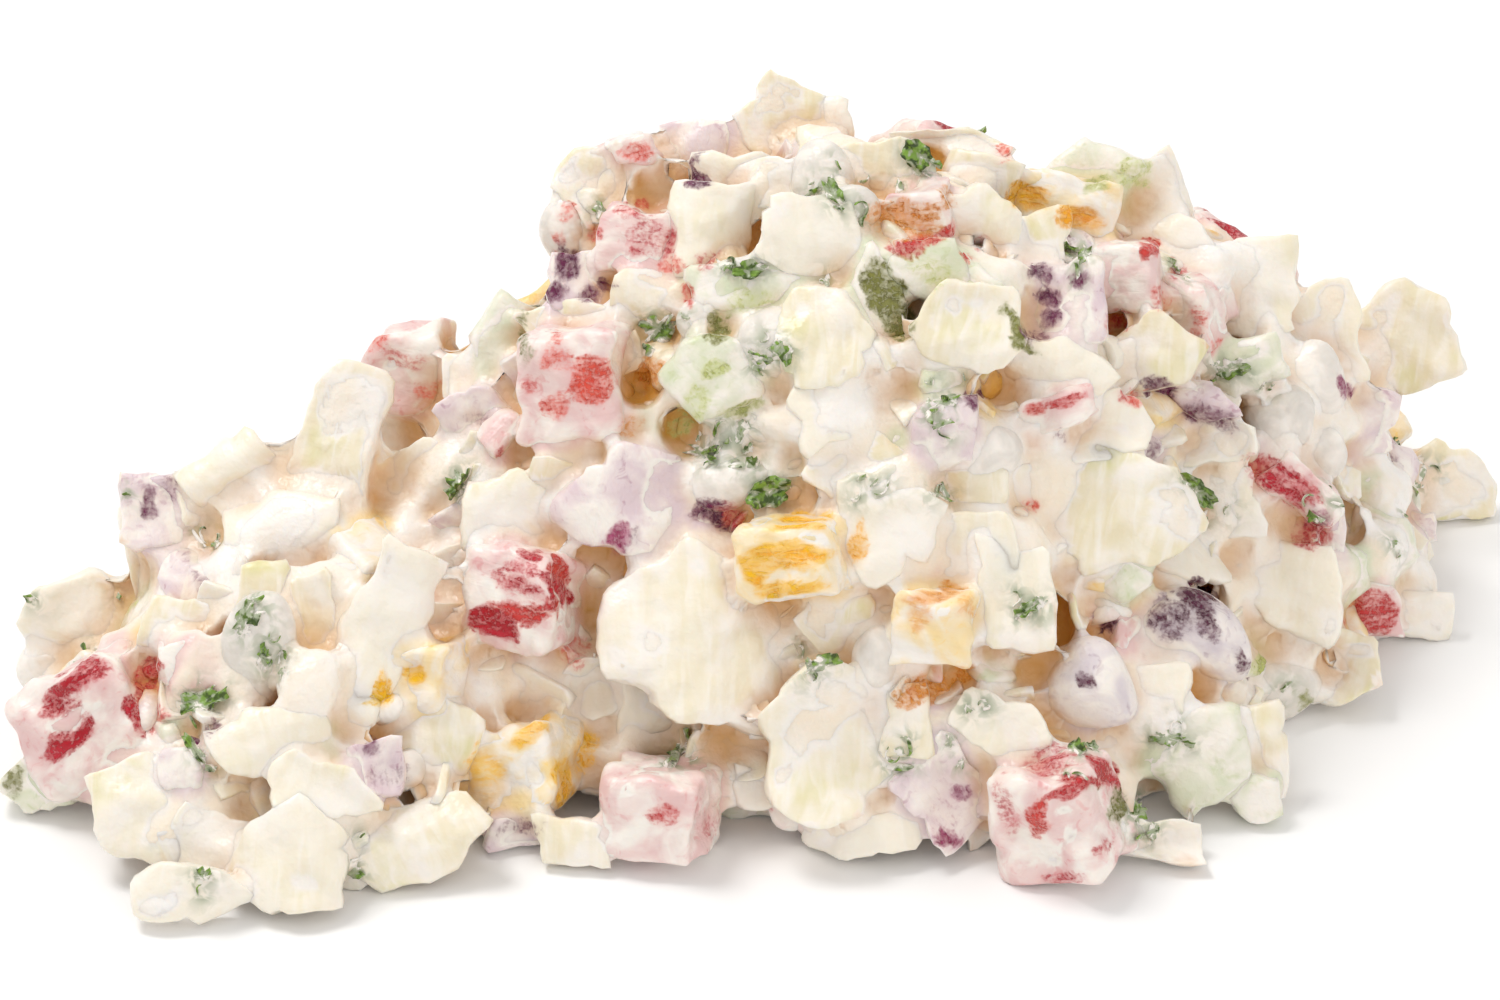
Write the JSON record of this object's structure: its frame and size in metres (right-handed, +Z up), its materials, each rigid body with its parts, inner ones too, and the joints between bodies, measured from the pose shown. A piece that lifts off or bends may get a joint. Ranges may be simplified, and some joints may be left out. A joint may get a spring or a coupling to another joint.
{
  "type": "mexican salad",
  "caption": "Heap of chopped cabbage, sweet pepper, red onion, cucumber, kidney beans and herbs in a creamy dressing, lying on its flat underside.",
  "frame": {"origin": "middle of the heap's bounding box on the surface it lies on", "axes": "+X along the heap's long side, to the right as seen from the front; +Y away from the front; +Z up"},
  "size_m": [0.1674, 0.1102, 0.0622],
  "materials": {
    "salad": "creamy dressing, moist, softly glossy",
    "cabbage": "pale cabbage under a film of dressing",
    "red_pepper": "moist red pepper, partly under dressing",
    "yellow_pepper": "moist yellow pepper, partly under dressing",
    "red_onion": "purple onion, mostly under dressing",
    "cucumber": "pale green cucumber with darker skin",
    "kidney_bean": "dark red-purple bean skin under a thin film",
    "herb": "chopped green herb leaf"
  },
  "bodies": {
    "root": {"salad_heap": "salad"}
  },
  "joints": []
}
